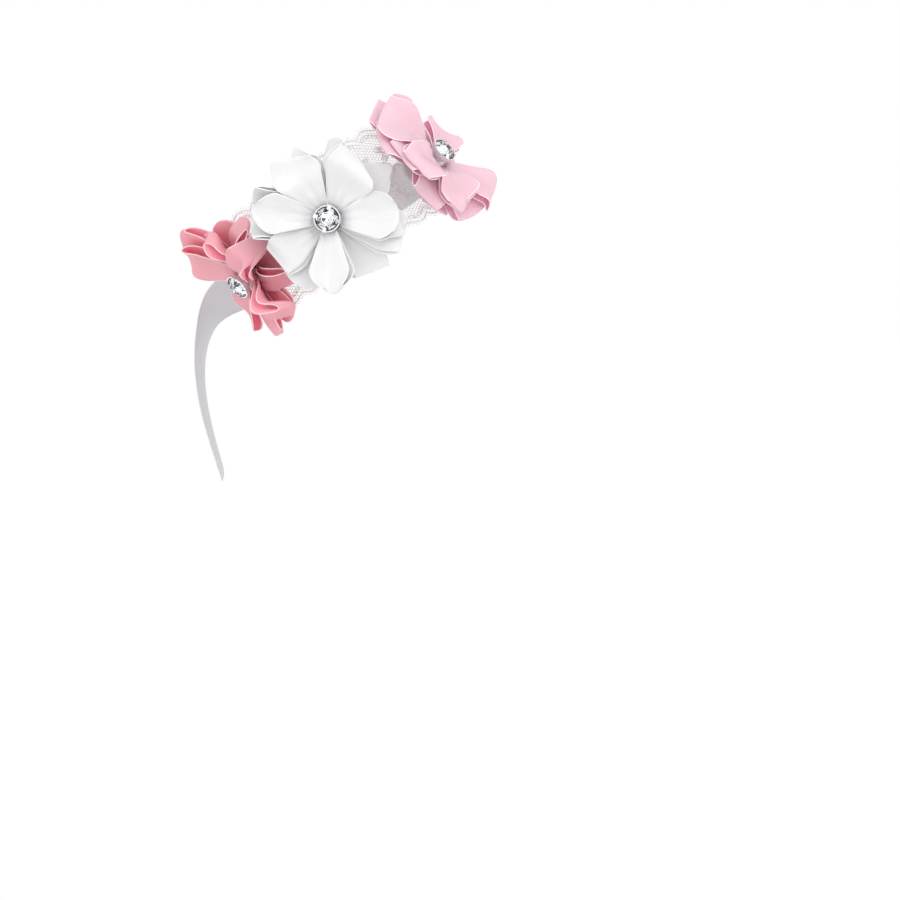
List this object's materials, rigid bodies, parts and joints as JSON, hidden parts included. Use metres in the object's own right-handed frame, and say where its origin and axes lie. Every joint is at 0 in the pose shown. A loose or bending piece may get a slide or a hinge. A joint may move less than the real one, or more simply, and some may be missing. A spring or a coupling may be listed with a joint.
{
  "type": "wrist corsage",
  "caption": "Wrist corsage: satin ribbon flowers with rhinestone centres on a scalloped lace band, tied round the wrist by a knotted satin ribbon with free ends.",
  "frame": {"origin": "middle of the wrist opening, level with the middle of the white flower", "axes": "+Z along the wrist towards the elbow, -Y out of the back of the wrist through the white flower, -X the thumb side, where the ribbon is knotted"},
  "size_m": [0.1089, 0.0643, 0.0664],
  "materials": {
    "white_satin": "satin ribbon, white",
    "rose_satin": "satin ribbon, rose pink",
    "blush_satin": "satin ribbon, blush pink",
    "lace": "net lace, ivory white",
    "wool_felt": "felt, white",
    "silver_plate": "bright silver plate",
    "cut_glass": "cut and polished"
  },
  "bodies": {
    "corsage": {"blush_flower_bottom_petal_1": "blush_satin", "blush_flower_bottom_petal_2": "blush_satin", "blush_flower_bottom_petal_3": "blush_satin", "blush_flower_bottom_petal_4": "blush_satin", "blush_flower_claw_cup": "silver_plate", "blush_flower_core": "blush_satin", "blush_flower_felt": "wool_felt", "blush_flower_middle_petal_1": "blush_satin", "blush_flower_middle_petal_2": "blush_satin", "blush_flower_middle_petal_3": "blush_satin", "blush_flower_middle_petal_4": "blush_satin", "blush_flower_stone": "cut_glass", "blush_flower_upper_petal_1": "blush_satin", "blush_flower_upper_petal_2": "blush_satin", "blush_flower_upper_petal_3": "blush_satin", "blush_flower_upper_petal_4": "blush_satin", "blush_flower_upper_petal_5": "blush_satin", "lace_band": "lace", "rose_flower_bottom_petal_1": "rose_satin", "rose_flower_bottom_petal_2": "rose_satin", "rose_flower_bottom_petal_3": "rose_satin", "rose_flower_bottom_petal_4": "rose_satin", "rose_flower_claw_cup": "silver_plate", "rose_flower_core": "rose_satin", "rose_flower_felt": "wool_felt", "rose_flower_middle_petal_1": "rose_satin", "rose_flower_middle_petal_2": "rose_satin", "rose_flower_middle_petal_3": "rose_satin", "rose_flower_middle_petal_4": "rose_satin", "rose_flower_stone": "cut_glass", "rose_flower_upper_petal_1": "rose_satin", "rose_flower_upper_petal_2": "rose_satin", "rose_flower_upper_petal_3": "rose_satin", "rose_flower_upper_petal_4": "rose_satin", "rose_flower_upper_petal_5": "rose_satin", "tie_knot": "white_satin", "tie_palm_side": "white_satin", "tie_thumb_side": "white_satin", "white_flower_bottom_petal_1": "white_satin", "white_flower_bottom_petal_2": "white_satin", "white_flower_bottom_petal_3": "white_satin", "white_flower_bottom_petal_4": "white_satin", "white_flower_bottom_petal_5": "white_satin", "white_flower_claw_cup": "silver_plate", "white_flower_core": "white_satin", "white_flower_felt": "wool_felt", "white_flower_middle_petal_1": "white_satin", "white_flower_middle_petal_2": "white_satin", "white_flower_middle_petal_3": "white_satin", "white_flower_stone": "cut_glass", "white_flower_upper_petal_1": "white_satin", "white_flower_upper_petal_2": "white_satin", "white_flower_upper_petal_3": "white_satin", "white_flower_upper_petal_4": "white_satin", "white_flower_upper_petal_5": "white_satin"},
    "long_end": {"tie_long_end": "white_satin"},
    "short_end": {"tie_short_end": "white_satin"}
  },
  "joints": [
    {"name": "long_end_swing", "type": "hinge", "parent": "corsage", "child": "long_end", "pos_m": [-0.0194, 0.01964, 0], "axis": [1, 0, 0], "range_deg": [-35, 35]},
    {"name": "short_end_swing", "type": "hinge", "parent": "corsage", "child": "short_end", "pos_m": [-0.0194, 0.01964, 0], "axis": [0, 0, 1], "range_deg": [0, 60]}
  ]
}
